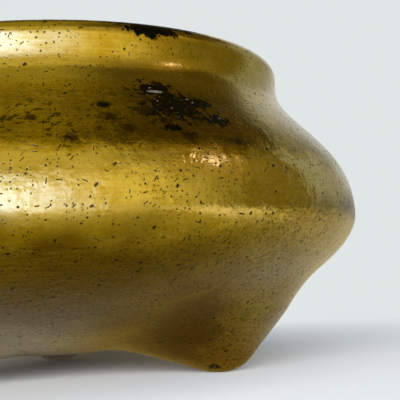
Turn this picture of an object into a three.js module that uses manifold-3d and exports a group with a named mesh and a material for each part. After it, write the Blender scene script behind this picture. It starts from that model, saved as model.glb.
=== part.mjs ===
// Tripod incense burner in cast bronze: a low round bowl with a short neck and a crisp everted lip, on three
// breast-shaped feet that grow out of its flank. Each foot is cast on its own, seats in a round socket under
// the bowl and is held by a tenon that passes through the wall and is hammered over inside. A plain square
// panel is let into the underside. Millimetres, +Z up, origin on the table under the middle of the bowl.
import * as THREE from "three";
import { mergeVertices } from "three/addons/utils/BufferGeometryUtils.js";
import Module from "manifold-3d";

const wasm = await Module();
wasm.setup();

// Bowl
const bellyRadius = 65; // widest radius
const bellyHeight = 31; // height of the widest ring above the table
const totalHeight = 64.7;
const crownRadius = 46.3; // radius of the lip's highest ring
const lipRadius = 49.7; // widest ring of the lip
const lipDrop = 3.1; // from the crown down to the lip's widest ring
const lipInnerDrop = 2.4; // height of the rounding inside the lip
const neckRadius = 49.2; // outside of the waist under the lip
const neckDrop = 4.2; // from the crown down to the waist
const neckReach = 11.1; // how far the shoulder's curve keeps upright below the waist
const shoulderReach = 16; // and above the widest ring
const underReach = 10.5; // how far the curve keeps upright below the widest ring
const floorReach = 34.9; // how far it keeps level from the middle of the underside
const floorHeight = 4.1; // middle of the underside above the table
const wall = 4.2; // belly and floor
const neckWall = 5;

// Feet: a ball at the tip and a larger one inside the bowl, joined by the cone tangent to both
const footNames = ["foot_front_right", "foot_rear", "foot_front_left"];
const firstFootAngle = -28.7; // degrees from +X
const footCircle = 36.1; // radius on which the tips stand
const footTipRadius = 8.8;
const footLength = 18.3; // between the two balls
const footLean = 16.9; // towards the middle, degrees
const footHalfAngle = 56.6; // between the cone's axis and its flank, degrees
const footBlend = 4.5; // how softly a foot grows out of the bowl
const footWear = 0.4; // worn flat on the tip

// Joints
const seatGap = 0.3; // clearance between a piece and its seat
const socketRadius = 16; // round socket that takes a foot
const tenonRadius = 4.5;
const tenonRoot = 3; // depth of the tenon's root in the foot
const tenonHeadRadius = 7;
const tenonHeadHeight = 1.7;
const tenonHeadEdge = 0.5; // thickness of the head at its rim

// Panel in the underside
const panelSide = 22;
const panelThickness = 1.6;
const panelCorner = 1.5;
const panelRecess = 1.2; // how far its face stands back from the middle of the underside

// Mesh fineness
const around = 60;
const lipSteps = 6;
const neckSteps = 3;
const shoulderSteps = 10;
const underSteps = 17;
const insideSteps = 10;
const footRings = 8;
const footSectors = 32;
const postSides = 40;
const tenonSides = 24;
const headSteps = 4;
const cornerSteps = 4;
const halvings = 30;
const overshoot = 5; // how far a cutter reaches past what it cuts
const samePoint = 1e-4; // points nearer than this are one

const degrees = Math.PI / 180;
const lipHeight = totalHeight - lipDrop;
const neckHeight = totalHeight - neckDrop;
const panelFace = floorHeight + panelRecess;
const panelTop = panelFace + panelThickness;
const tipHeight = footTipRadius - footWear; // centre of the ball at the tip
const headSeat = wall + seatGap + tenonHeadRadius ** 2 / (2 * footCircle); // clear of the hollow wall
const footOut = -footLength * Math.sin(footLean * degrees);
const footRise = footLength * Math.cos(footLean * degrees);
const coneSine = Math.sin(footHalfAngle * degrees);
const coneCosine = Math.cos(footHalfAngle * degrees);

const feet = footNames.map((name, i) => {
  const angle = (firstFootAngle + (360 / footNames.length) * i) * degrees;
  return { name, angle, x: footCircle * Math.cos(angle), y: footCircle * Math.sin(angle) };
});

// Outside of the bowl as radius and height: from the waist to the widest ring, and on to the middle below
const shoulderCurve = new THREE.CubicBezierCurve(
  new THREE.Vector2(neckRadius, neckHeight),
  new THREE.Vector2(neckRadius, neckHeight - neckReach),
  new THREE.Vector2(bellyRadius, bellyHeight + shoulderReach),
  new THREE.Vector2(bellyRadius, bellyHeight),
);
const underCurve = new THREE.CubicBezierCurve(
  new THREE.Vector2(bellyRadius, bellyHeight),
  new THREE.Vector2(bellyRadius, bellyHeight - underReach),
  new THREE.Vector2(floorReach, floorHeight),
  new THREE.Vector2(0, floorHeight),
);

// Where a value that is true at the start and false at the end changes
function changeOf(isBefore, start, end) {
  let before = start;
  let after = end;
  for (let i = 0; i < halvings; i++) {
    const middle = (before + after) / 2;
    if (isBefore(middle)) before = middle;
    else after = middle;
  }
  return before;
}

// Distance from the middle of the belly to the round underside, at an angle below level
function bowlReach(angle) {
  const t = changeOf((s) => {
    const p = underCurve.getPoint(s);
    return Math.atan2(bellyHeight - p.y, p.x) < angle;
  }, 0, 1);
  const p = underCurve.getPoint(t);
  return Math.hypot(p.x, bellyHeight - p.y);
}

// Roughly the distance from the plain round bowl; negative inside
function bowlField(x, y, z) {
  const r = Math.hypot(x, y);
  const down = bellyHeight - z;
  return Math.hypot(r, down) - bowlReach(Math.atan2(down, r));
}

function footField(foot, x, y, z) {
  const out = x * Math.cos(foot.angle) + y * Math.sin(foot.angle) - footCircle;
  const side = y * Math.cos(foot.angle) - x * Math.sin(foot.angle);
  const up = z - tipHeight;
  const along = (out * footOut + up * footRise) / footLength;
  const away = Math.sqrt(Math.max(out * out + side * side + up * up - along * along, 0));
  const place = coneSine * away + coneCosine * along;
  if (place < 0) return Math.hypot(away, along) - footTipRadius;
  if (place < coneCosine * footLength) return coneCosine * away - coneSine * along - footTipRadius;
  return Math.hypot(away, along - footLength) - footTipRadius - footLength * coneSine;
}

// The smaller of two distances, rounded where they are alike
function blend(a, b) {
  const h = Math.max(footBlend - Math.abs(a - b), 0) / footBlend;
  return Math.min(a, b) - (h * h * footBlend) / 4;
}

function bodyField(x, y, z) {
  return feet.reduce((d, foot) => blend(d, footField(foot, x, y, z)), bowlField(x, y, z));
}

// Height of the plain round underside at a radius
function bowlUnderside(r) {
  const t = changeOf((s) => underCurve.getPoint(s).x > r, 0, 1);
  return underCurve.getPoint(t).y;
}

// The underside's steepness at a radius, as an angle from level
function undersideTilt(r) {
  const t = changeOf((s) => underCurve.getPoint(s).x > r, 0, 1);
  const along = underCurve.getTangent(t);
  return Math.atan2(-along.y, -along.x);
}

// Height of the underside with the feet, never below the table
function bodyUnderside(x, y) {
  const top = bowlUnderside(Math.hypot(x, y));
  return Math.max(0, changeOf((z) => bodyField(x, y, z) > 0, -overshoot, top));
}

// Rings of points from the lip's crown down to the widest ring, as radius and height
function upperProfile() {
  const points = [];
  for (let i = 0; i <= lipSteps; i++) {
    const t = (i / lipSteps) * (Math.PI / 2);
    points.push([crownRadius + (lipRadius - crownRadius) * Math.sin(t), lipHeight + lipDrop * Math.cos(t)]);
  }
  for (let i = 1; i < neckSteps; i++) {
    const t = i / neckSteps;
    const drawnIn = t * t * (3 - 2 * t);
    points.push([lipRadius + (neckRadius - lipRadius) * drawnIn, lipHeight + (neckHeight - lipHeight) * t]);
  }
  for (const p of shoulderCurve.getPoints(shoulderSteps)) points.push([p.x, p.y]);
  return points;
}

// A point of a curve moved square to it into the wall
function movedIn(curve, t, depth) {
  const p = curve.getPoint(t);
  const along = curve.getTangent(t);
  return [Math.max(p.x + along.y * depth, 0), p.y - along.x * depth];
}

// Inside profile from the crown down to the floor
function insideProfile() {
  const points = [];
  const mouthRadius = neckRadius - neckWall;
  for (let i = 1; i <= neckSteps; i++) {
    const t = (i / neckSteps) * (Math.PI / 2);
    const r = mouthRadius + (crownRadius - mouthRadius) * Math.cos(t);
    points.push([r, totalHeight - lipInnerDrop * Math.sin(t)]);
  }
  for (let i = 0; i < insideSteps; i++) {
    const t = i / insideSteps;
    points.push(movedIn(shoulderCurve, t, neckWall + (wall - neckWall) * t));
  }
  for (let i = 0; i < insideSteps; i++) points.push(movedIn(underCurve, i / insideSteps, wall));
  return points;
}

// A closed mesh from rings of points running from one pole to the other
function meshOfRings(topPole, rings, bottomPole) {
  const count = rings[0].length;
  const vertices = [topPole, ...rings.flat(), bottomPole];
  const faces = [];
  const last = vertices.length - 1;
  const at = (ring, i) => 1 + ring * count + (i % count);
  for (let i = 0; i < count; i++) {
    faces.push(0, at(0, i), at(0, i + 1));
    faces.push(last, at(rings.length - 1, i + 1), at(rings.length - 1, i));
    for (let ring = 0; ring < rings.length - 1; ring++) {
      faces.push(at(ring, i), at(ring + 1, i), at(ring + 1, i + 1));
      faces.push(at(ring, i), at(ring + 1, i + 1), at(ring, i + 1));
    }
  }
  const geometry = new THREE.BufferGeometry();
  geometry.setAttribute("position", new THREE.BufferAttribute(new Float32Array(vertices.flat()), 3));
  geometry.setIndex(faces);
  return geometry;
}

// Points round a circle, each made by a function of its direction
function ringOf(count, pointAt) {
  return Array.from({ length: count }, (_, i) => {
    const angle = (i / count) * 2 * Math.PI;
    return pointAt(Math.cos(angle), Math.sin(angle));
  });
}

const levelRing = ([r, z]) => ringOf(around, (c, s) => [r * c, r * s, z]);

// Rings of the lower body, where rays fanned down from the middle of the belly leave it
function lowerRings(field) {
  return Array.from({ length: underSteps - 1 }, (_, step) => {
    const tilt = ((step + 1) / underSteps) * (Math.PI / 2);
    return ringOf(around, (c, s) => {
      const level = Math.cos(tilt);
      const down = Math.sin(tilt);
      const pointAt = (d) => [d * level * c, d * level * s, bellyHeight - d * down];
      return pointAt(changeOf((d) => field(...pointAt(d)) < 0, 0, 2 * bellyRadius));
    });
  });
}

// Solid of the whole outside, with or without the feet
function outsideSolid(field) {
  const rings = [...upperProfile().map(levelRing), ...lowerRings(field)];
  return solidOf(meshOfRings([0, 0, totalHeight], rings, [0, 0, floorHeight]));
}

// Solid of the hollow, reaching a little above the lip
function hollowSolid() {
  const above = totalHeight + overshoot;
  const rings = [[crownRadius, above], [crownRadius, totalHeight], ...insideProfile()].map(levelRing);
  return solidOf(meshOfRings([0, 0, above], rings, [0, 0, floorHeight + wall]));
}

function solidOf(geometry, matrix) {
  const plain = geometry.clone();
  plain.deleteAttribute("normal");
  plain.deleteAttribute("uv");
  if (matrix) plain.applyMatrix4(matrix);
  const merged = mergeVertices(plain, samePoint);
  return new wasm.Manifold(
    new wasm.Mesh({
      numProp: 3,
      vertProperties: new Float32Array(merged.attributes.position.array),
      triVerts: new Uint32Array(merged.index.array),
    }),
  );
}

function geometryOf(solid) {
  const mesh = solid.getMesh();
  const geometry = new THREE.BufferGeometry();
  geometry.setAttribute("position", new THREE.BufferAttribute(mesh.vertProperties.slice(), 3));
  geometry.setIndex(new THREE.BufferAttribute(mesh.triVerts.slice(), 1));
  geometry.computeVertexNormals();
  return geometry;
}

// Upright cylinder that reaches from below the table to the belly
function socketPost(foot) {
  const height = bellyHeight + overshoot;
  const geometry = new THREE.CylinderGeometry(socketRadius, socketRadius, height, postSides);
  geometry.rotateX(Math.PI / 2);
  return solidOf(geometry, new THREE.Matrix4().makeTranslation(foot.x, foot.y, height / 2 - overshoot));
}

// The tenon stands square to the bowl's wall where the foot meets it
function tenonFrame(foot) {
  const tilt = undersideTilt(footCircle);
  const inwards = new THREE.Vector3(
    -Math.sin(tilt) * Math.cos(foot.angle),
    -Math.sin(tilt) * Math.sin(foot.angle),
    Math.cos(tilt),
  );
  const turn = new THREE.Quaternion().setFromUnitVectors(new THREE.Vector3(0, 1, 0), inwards);
  const seat = new THREE.Vector3(foot.x, foot.y, bowlUnderside(footCircle));
  return new THREE.Matrix4().compose(seat, turn, new THREE.Vector3(1, 1, 1));
}

function tenonSolid(foot, radius, low, high) {
  const geometry = new THREE.CylinderGeometry(radius, radius, high - low, tenonSides);
  geometry.translate(0, (low + high) / 2, 0);
  return solidOf(geometry, tenonFrame(foot));
}

// The hammered-over end of the tenon: a low dome standing just clear of the floor inside
function tenonHead(foot) {
  const profile = [new THREE.Vector2(0, headSeat), new THREE.Vector2(tenonHeadRadius, headSeat)];
  for (let i = 0; i < headSteps; i++) {
    const t = (i / headSteps) * (Math.PI / 2);
    const dome = tenonHeadEdge + (tenonHeadHeight - tenonHeadEdge) * Math.sin(t);
    profile.push(new THREE.Vector2(tenonHeadRadius * Math.cos(t), headSeat + dome));
  }
  profile.push(new THREE.Vector2(0, headSeat + tenonHeadHeight));
  return solidOf(new THREE.LatheGeometry(profile, tenonSides), tenonFrame(foot));
}

// A foot's own casting: the body's underside below, the bowl's plain curve above with the clearance between
function footBlock(foot) {
  const radius = socketRadius - seatGap;
  const clear = seatGap / Math.cos(undersideTilt(footCircle));
  const under = (x, y) => [x, y, bodyUnderside(x, y)];
  const over = (x, y) => [x, y, bowlUnderside(Math.hypot(x, y)) - clear];
  const ringAt = (i, place) => {
    const r = (radius * i) / footRings;
    return ringOf(footSectors, (c, s) => place(foot.x + r * c, foot.y + r * s));
  };
  const rings = [];
  for (let i = 1; i <= footRings; i++) rings.push(ringAt(i, over));
  for (let i = footRings; i > 0; i--) rings.push(ringAt(i, under));
  return solidOf(meshOfRings(over(foot.x, foot.y), rings, under(foot.x, foot.y)));
}

function panelOutline(side) {
  const half = side / 2;
  const inner = half - panelCorner;
  const shape = new THREE.Shape();
  shape.moveTo(-inner, -half);
  shape.absarc(inner, -inner, panelCorner, -Math.PI / 2, 0);
  shape.absarc(inner, inner, panelCorner, 0, Math.PI / 2);
  shape.absarc(-inner, inner, panelCorner, Math.PI / 2, Math.PI);
  shape.absarc(-inner, -inner, panelCorner, Math.PI, 1.5 * Math.PI);
  return shape;
}

function panelBlock(side, low, high) {
  const options = { depth: high - low, bevelEnabled: false, curveSegments: cornerSteps };
  const geometry = new THREE.ExtrudeGeometry(panelOutline(side), options);
  return solidOf(geometry, new THREE.Matrix4().makeTranslation(0, 0, low));
}

function makeBowl() {
  const plainBowl = outsideSolid(bowlField);
  let bowl = outsideSolid(bodyField).subtract(hollowSolid());
  for (const foot of feet) {
    const hole = tenonSolid(foot, tenonRadius + seatGap, -overshoot, wall + overshoot);
    bowl = bowl.subtract(socketPost(foot).subtract(plainBowl)).subtract(hole);
  }
  return bowl.subtract(panelBlock(panelSide + 2 * seatGap, 0, panelTop + seatGap));
}

function makeFoot(foot) {
  const tenon = tenonSolid(foot, tenonRadius, -tenonRoot, headSeat + tenonHeadEdge);
  return footBlock(foot).add(tenon).add(tenonHead(foot));
}

// Finishes
const bronze = new THREE.MeshStandardMaterial({ color: 0xa8892f, roughness: 0.32, metalness: 1 });
const footBronze = new THREE.MeshStandardMaterial({ color: 0x9a7c2c, roughness: 0.36, metalness: 1 });
const panelBronze = new THREE.MeshStandardMaterial({ color: 0x7c6427, roughness: 0.45, metalness: 1 });

const burner = new THREE.Group();

function addPiece(name, solid, material) {
  const mesh = new THREE.Mesh(geometryOf(solid), material);
  mesh.name = name;
  burner.add(mesh);
}

addPiece("bowl", makeBowl(), bronze);
for (const foot of feet) addPiece(foot.name, makeFoot(foot), footBronze);
addPiece("base_panel", panelBlock(panelSide, panelFace, panelTop), panelBronze);

export default burner;
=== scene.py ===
import math

import bmesh
import bpy
from mathutils import Matrix, Vector
from mathutils.bvhtree import BVHTree
from mathutils.interpolate import poly_3d_calc


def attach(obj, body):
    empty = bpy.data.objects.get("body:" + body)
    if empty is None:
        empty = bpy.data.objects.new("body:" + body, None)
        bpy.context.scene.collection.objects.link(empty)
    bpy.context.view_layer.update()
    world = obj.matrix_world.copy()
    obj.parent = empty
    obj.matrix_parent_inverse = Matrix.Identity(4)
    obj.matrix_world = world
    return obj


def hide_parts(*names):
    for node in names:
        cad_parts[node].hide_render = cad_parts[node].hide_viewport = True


# Bronze tripod incense burner: shapes, finishes, floor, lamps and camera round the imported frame.
# Sizes in the dictionaries are millimetres and degrees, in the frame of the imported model.

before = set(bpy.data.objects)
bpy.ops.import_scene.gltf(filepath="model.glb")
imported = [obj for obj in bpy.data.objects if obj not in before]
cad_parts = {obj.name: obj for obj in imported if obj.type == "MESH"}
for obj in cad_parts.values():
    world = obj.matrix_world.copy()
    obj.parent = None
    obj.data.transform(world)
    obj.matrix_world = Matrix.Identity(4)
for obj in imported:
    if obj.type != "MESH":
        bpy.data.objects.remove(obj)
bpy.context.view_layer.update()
print("frame loaded:", ", ".join(sorted(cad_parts)))

mm = 0.001
footNodes = ("foot_front_right", "foot_rear", "foot_front_left")

bowl = {
    "bellyRadius": 65.0,
    "bellyHeight": 31.0,
    "totalHeight": 64.7,
    "crownRadius": 46.3,
    "lipRadius": 49.7,
    "lipDrop": 3.1,
    "lipInnerDrop": 2.4,
    "neckRadius": 49.2,
    "neckDrop": 4.2,
    "swellFade": 6.0,
    "neckReach": 11.1,  # how far the shoulder's curve keeps upright below the waist
    "shoulderReach": 16.0,
    "underReach": 10.5,
    "floorReach": 34.9,
    "floorHeight": 4.1,
    "wall": 4.2,
    "neckWall": 5.0,
    "merge": 1e-3,
    "around": 288,
    "lipSteps": 24,
    "neckSteps": 6,
    "shoulderSteps": 40,
    "underSteps": 84,
    "insideSteps": 30,
}

feet = {
    "firstAngle": -28.7,
    "circle": 36.1,
    "tipRadius": 8.8,
    "length": 18.3,
    "lean": 16.9,
    "halfAngle": 56.6,
    "blend": 4.5,
    "wear": 0.4,
    "socketRadius": 16.0,
    "socketAround": 192,
    "seatGap": 0.3,
    "beyond": 5.0,  # how far the cutting shapes reach past what they cut
    "marchSteps": 60,
}

tenon = {
    "radius": 4.5,
    "root": 3.0,
    "headRadius": 7.0,
    "headHeight": 1.7,
    "headEdge": 0.5,
    "edgeSteps": 6,
    "domeSteps": 16,
    "around": 72,
    "holeAround": 96,
    "dent": 0.22,
    "dentSize": 3.2,
    "seed": 4.0,
}

panel = {
    "side": 22.0,
    "thickness": 1.6,
    "corner": 1.5,
    "recess": 1.2,
    "bevel": 0.3,
    "bevelSteps": 3,
    "cornerSteps": 6,
}

# Where cut pieces shade sharply, in degrees, and when they still have the uncut body's surface
shading = {"sharp": 30, "panelSharp": 40, "nearBody": 2e-3, "facingAlike": 0.8}

profileMarks = ("skin", "inside")  # under the belly, where feet may grow, and the hollow's own surface
number, whole, vector, shape, finish, tint = (
    "NodeSocketFloat", "NodeSocketInt", "NodeSocketVector", "NodeSocketGeometry", "NodeSocketMaterial",
    "NodeSocketColor")


# Helpers for node trees of both kinds
def feed(tree, value, socket):
    if isinstance(value, bpy.types.NodeSocket):
        tree.links.new(value, socket)
    else:
        socket.default_value = value


def addNode(tree, kind, inputs=None, **settings):
    node = tree.nodes.new(kind)
    for key, value in settings.items():
        setattr(node, key, value)
    for key, value in (inputs or {}).items():
        feed(tree, value, node.inputs[key])
    return node


def valueOf(tree, kind, inputs=None, **settings):
    return addNode(tree, kind, inputs, **settings).outputs[0]


def calc(tree, operation, *values):
    node = addNode(tree, "ShaderNodeMath", operation=operation)
    for value, socket in zip(values, node.inputs):
        feed(tree, value, socket)
    return node.outputs[0]


# One operation over two or more values
def chain(tree, operation, first, *values):
    for value in values:
        first = calc(tree, operation, first, value)
    return first


def times(tree, *values):
    return chain(tree, "MULTIPLY", *values)


def plus(tree, *values):
    return chain(tree, "ADD", *values)


def minus(tree, value, less):
    return calc(tree, "SUBTRACT", value, less)


def highest(tree, *values):
    return chain(tree, "MAXIMUM", *values)


def vectorCalc(tree, operation, *values):
    node = addNode(tree, "ShaderNodeVectorMath", operation=operation)
    sockets = [node.inputs[0], node.inputs["Scale"]] if operation == "SCALE" else node.inputs
    for value, socket in zip(values, sockets):
        feed(tree, value, socket)
    return node.outputs["Value" if operation in ("LENGTH", "DOT_PRODUCT", "DISTANCE") else "Vector"]


def joinXyz(tree, x, y, z):
    return valueOf(tree, "ShaderNodeCombineXYZ", {"X": x, "Y": y, "Z": z})


def splitXyz(tree, value):
    return addNode(tree, "ShaderNodeSeparateXYZ", {"Vector": value}).outputs


def mixNumber(tree, factor, under, over):
    return valueOf(tree, "ShaderNodeMix", {"Factor": factor, "A": under, "B": over}, data_type="FLOAT")


def newTree(name, kind, inputs, outputs):
    tree = bpy.data.node_groups.new(name, kind)
    for direction, sockets in (("INPUT", inputs), ("OUTPUT", outputs)):
        for label, socketType, *value in sockets:
            socket = tree.interface.new_socket(label, in_out=direction, socket_type=socketType)
            if value:
                socket.default_value = value[0]
    return tree, tree.nodes.new("NodeGroupInput").outputs, tree.nodes.new("NodeGroupOutput").inputs


def useTree(host, tree, inputs):
    kind = "GeometryNodeGroup" if host.bl_idname == "GeometryNodeTree" else "ShaderNodeGroup"
    node = addNode(host, kind, node_tree=tree)
    for key, value in inputs.items():
        feed(host, value, node.inputs[key])
    return node.outputs


def readMark(tree, name):
    return valueOf(tree, "GeometryNodeInputNamedAttribute", {"Name": name}, data_type="FLOAT")


def storeMark(tree, geometry, name, value):
    return valueOf(
        tree, "GeometryNodeStoreNamedAttribute", {"Geometry": geometry, "Name": name, "Value": value},
        data_type="FLOAT", domain="POINT")


def positionIn(tree):
    return valueOf(tree, "GeometryNodeInputPosition")


# Every shape tree ends alike; the pieces get their own material once they are cut
def finishShape(tree, geometry, given, result):
    made = valueOf(tree, "GeometryNodeRealizeInstances", {"Geometry": geometry})
    dressed = valueOf(tree, "GeometryNodeSetMaterial", {"Geometry": made, "Material": given["Material"]})
    feed(tree, dressed, result["Geometry"])


# Turns the profile's points about the upright axis: a grid with a row for each point, rolled up and closed
def turnedProfileTree():
    tree, given, result = newTree(
        "turnedProfile", "GeometryNodeTree",
        [("Geometry", shape), ("Around", whole, 64), ("Merge", number, 1e-6), ("Material", finish)],
        [("Geometry", shape)])
    profile = given["Geometry"]
    rows = addNode(tree, "GeometryNodeAttributeDomainSize", {"Geometry": profile}).outputs["Point Count"]
    across = plus(tree, given["Around"], 1.0)
    grid = addNode(tree, "GeometryNodeMeshGrid", {"Vertices X": across, "Vertices Y": rows})
    place = splitXyz(tree, grid.outputs["UV Map"])
    turn = times(tree, place["X"], 2 * math.pi)
    row = calc(tree, "ROUND", times(tree, place["Y"], minus(tree, rows, 1.0)))

    def sampled(kind, value):
        return valueOf(
            tree, "GeometryNodeSampleIndex", {"Geometry": profile, "Value": value, "Index": row},
            data_type=kind, domain="POINT")

    part = splitXyz(tree, sampled("FLOAT_VECTOR", positionIn(tree)))
    turned = joinXyz(
        tree, times(tree, part["X"], calc(tree, "COSINE", turn)),
        times(tree, part["X"], calc(tree, "SINE", turn)), part["Z"])
    marked = grid.outputs["Mesh"]
    for mark in profileMarks:
        marked = storeMark(tree, marked, mark, sampled("FLOAT", readMark(tree, mark)))
    placed = valueOf(tree, "GeometryNodeSetPosition", {"Geometry": marked, "Position": turned})
    closed = valueOf(tree, "GeometryNodeMergeByDistance", {"Geometry": placed, "Distance": given["Merge"]})
    outward = valueOf(tree, "GeometryNodeFlipFaces", {"Mesh": closed})
    smooth = valueOf(tree, "GeometryNodeSetShadeSmooth", {"Geometry": outward})
    finishShape(tree, smooth, given, result)
    return tree


# Distance from a foot: a ball at the tip and a larger one inside the bowl, in the cone tangent to both
def footDistanceTree():
    tree, given, result = newTree(
        "footDistance", "GeometryNodeTree",
        [("Tip", vector), ("Axis", vector), ("Tip radius", number), ("Length", number),
         ("Half angle", number)],
        [("Distance", number)])
    fromTip = vectorCalc(tree, "SUBTRACT", positionIn(tree), given["Tip"])
    along = vectorCalc(tree, "DOT_PRODUCT", fromTip, given["Axis"])
    reach = vectorCalc(tree, "LENGTH", fromTip)
    square = minus(tree, times(tree, reach, reach), times(tree, along, along))
    away = calc(tree, "SQRT", highest(tree, square, 0.0))
    sine = calc(tree, "SINE", given["Half angle"])
    cosine = calc(tree, "COSINE", given["Half angle"])
    place = calc(tree, "MULTIPLY_ADD", sine, away, times(tree, cosine, along))
    tipBall = minus(tree, reach, given["Tip radius"])
    flank = minus(tree, times(tree, cosine, away), times(tree, sine, along))
    cone = minus(tree, flank, given["Tip radius"])
    beyond = minus(tree, along, given["Length"])
    rootSquare = calc(tree, "MULTIPLY_ADD", away, away, times(tree, beyond, beyond))
    rootRadius = calc(tree, "MULTIPLY_ADD", given["Length"], sine, given["Tip radius"])
    rootBall = minus(tree, calc(tree, "SQRT", rootSquare), rootRadius)
    pastTip = calc(tree, "GREATER_THAN", place, 0.0)
    pastCone = calc(tree, "GREATER_THAN", place, times(tree, cosine, given["Length"]))
    lower = mixNumber(tree, pastTip, tipBall, cone)
    feed(tree, mixNumber(tree, pastCone, lower, rootBall), result["Distance"])
    return tree


# The smaller of two distances, rounded where they are alike
def softJoinTree():
    tree, given, result = newTree(
        "softJoin", "GeometryNodeTree", [("A", number), ("B", number), ("Blend", number)],
        [("Distance", number)])
    apart = calc(tree, "ABSOLUTE", minus(tree, given["A"], given["B"]))
    near = highest(tree, minus(tree, given["Blend"], apart), 0.0)
    share = calc(tree, "DIVIDE", near, given["Blend"])
    drop = times(tree, share, near, 0.25)
    smaller = calc(tree, "MINIMUM", given["A"], given["B"])
    feed(tree, minus(tree, smaller, drop), result["Distance"])
    return tree


# Pushes the skin below the belly out along rays from the belly's middle, until it meets the feet's
# blended surface
def grownFeetTree(footDistance, softJoin):
    tree, given, result = newTree(
        "grownFeet", "GeometryNodeTree",
        [("Geometry", shape), ("Steps", whole, 40), ("Belly height", number), ("First angle", number),
         ("Circle", number), ("Tip radius", number), ("Length", number), ("Lean", number),
         ("Half angle", number), ("Blend", number), ("Wear", number), ("Material", finish)],
        [("Geometry", shape)])
    position = positionIn(tree)
    middle = joinXyz(tree, 0.0, 0.0, given["Belly height"])
    fromMiddle = vectorCalc(tree, "SUBTRACT", position, middle)
    skin, plain = readMark(tree, "skin"), readMark(tree, "plainReach")
    start = storeMark(tree, given["Geometry"], "plainReach", vectorCalc(tree, "LENGTH", fromMiddle))

    distance = minus(tree, vectorCalc(tree, "LENGTH", fromMiddle), plain)
    tipHeight = minus(tree, given["Tip radius"], given["Wear"])
    inward = times(tree, calc(tree, "SINE", given["Lean"]), -1.0)
    for i in range(len(footNodes)):
        angle = plus(tree, given["First angle"], 2 * math.pi * i / len(footNodes))
        cosine, sine = calc(tree, "COSINE", angle), calc(tree, "SINE", angle)
        tip = joinXyz(
            tree, times(tree, cosine, given["Circle"]),
            times(tree, sine, given["Circle"]), tipHeight)
        axis = joinXyz(
            tree, times(tree, cosine, inward), times(tree, sine, inward),
            calc(tree, "COSINE", given["Lean"]))
        foot = useTree(tree, footDistance, {
            "Tip": tip, "Axis": axis, "Tip radius": given["Tip radius"], "Length": given["Length"],
            "Half angle": given["Half angle"]})
        distance = useTree(tree, softJoin, {
            "A": distance, "B": foot["Distance"], "Blend": given["Blend"]})["Distance"]

    goIn = tree.nodes.new("GeometryNodeRepeatInput")
    goOut = tree.nodes.new("GeometryNodeRepeatOutput")
    goIn.pair_with_output(goOut)
    feed(tree, given["Steps"], goIn.inputs["Iterations"])
    feed(tree, start, goIn.inputs["Geometry"])
    step = times(tree, distance, skin, -1.0)
    moved = vectorCalc(tree, "SCALE", vectorCalc(tree, "NORMALIZE", fromMiddle), step)
    marched = valueOf(
        tree, "GeometryNodeSetPosition", {"Geometry": goIn.outputs["Geometry"], "Offset": moved})
    feed(tree, marched, goOut.inputs["Geometry"])

    # The tips are worn flat on the table
    part = splitXyz(tree, position)
    flat = joinXyz(tree, part["X"], part["Y"], highest(tree, part["Z"], 0.0))
    worn = valueOf(tree, "GeometryNodeSetPosition", {"Geometry": goOut.outputs["Geometry"], "Position": flat})
    finishShape(tree, worn, given, result)
    return tree


# Adds a tree as a modifier and sets its inputs by their sockets' identifiers
def addTree(obj, tree, values):
    modifier = obj.modifiers.new(tree.name, "NODES")
    modifier.node_group = tree
    sockets = {s.name: s.identifier for s in tree.interface.items_tree if s.in_out == "INPUT"}
    for label, value in values.items():
        modifier[sockets[label]] = value


def newObject(name, mesh):
    obj = bpy.data.objects.new(name, mesh)
    bpy.context.scene.collection.objects.link(obj)
    return obj


# Replaces an object's live modifiers by their result
def settle(obj):
    graph = bpy.context.evaluated_depsgraph_get()
    made = bpy.data.meshes.new_from_object(obj.evaluated_get(graph), depsgraph=graph)
    obj.modifiers.clear()
    obj.data = made
    return obj


def profileObject(name, points, marks):
    mesh = bpy.data.meshes.new(name)
    edges = [(i, i + 1) for i in range(len(points) - 1)]
    mesh.from_pydata([(r * mm, 0, z * mm) for r, z in points], edges, [])
    for mark in profileMarks:
        values = [float(m == mark) for m in marks]
        mesh.attributes.new(mark, "FLOAT", "POINT").data.foreach_set("value", values)
    return newObject(name, mesh)


def bezier(curve, t):
    s = 1 - t
    weights = (s * s * s, 3 * s * s * t, 3 * s * t * t, t * t * t)
    return tuple(sum(w * p[k] for w, p in zip(weights, curve)) for k in (0, 1))


def bezierSlope(curve, t):
    s = 1 - t
    steps = [(b[0] - a[0], b[1] - a[1]) for a, b in zip(curve, curve[1:])]
    weights = (s * s, 2 * s * t, t * t)
    x, y = (sum(w * p[k] for w, p in zip(weights, steps)) for k in (0, 1))
    length = math.hypot(x, y)
    return x / length, y / length


neckHeight = bowl["totalHeight"] - bowl["neckDrop"]
lipHeight = bowl["totalHeight"] - bowl["lipDrop"]
shoulderCurve = (
    (bowl["neckRadius"], neckHeight),
    (bowl["neckRadius"], neckHeight - bowl["neckReach"]),
    (bowl["bellyRadius"], bowl["bellyHeight"] + bowl["shoulderReach"]),
    (bowl["bellyRadius"], bowl["bellyHeight"]),
)
underCurve = (
    (bowl["bellyRadius"], bowl["bellyHeight"]),
    (bowl["bellyRadius"], bowl["bellyHeight"] - bowl["underReach"]),
    (bowl["floorReach"], bowl["floorHeight"]),
    (0.0, bowl["floorHeight"]),
)


# Share of the under curve at which it comes in to a radius
def underShare(radius):
    low, high = 0.0, 1.0
    for _ in range(40):
        middle = (low + high) / 2
        if bezier(underCurve, middle)[0] > radius:
            low = middle
        else:
            high = middle
    return low


def lipPoints():
    points = []
    steps = bowl["lipSteps"]
    for i in range(steps + 1):
        t = i / steps * math.pi / 2
        points.append((
            bowl["crownRadius"] + (bowl["lipRadius"] - bowl["crownRadius"]) * math.sin(t),
            lipHeight + bowl["lipDrop"] * math.cos(t)))
    for i in range(1, bowl["neckSteps"]):
        height = lipHeight + (neckHeight - lipHeight) * i / bowl["neckSteps"]
        points.append((bowl["neckRadius"] + lipSwell(height), height))
    return points


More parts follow.
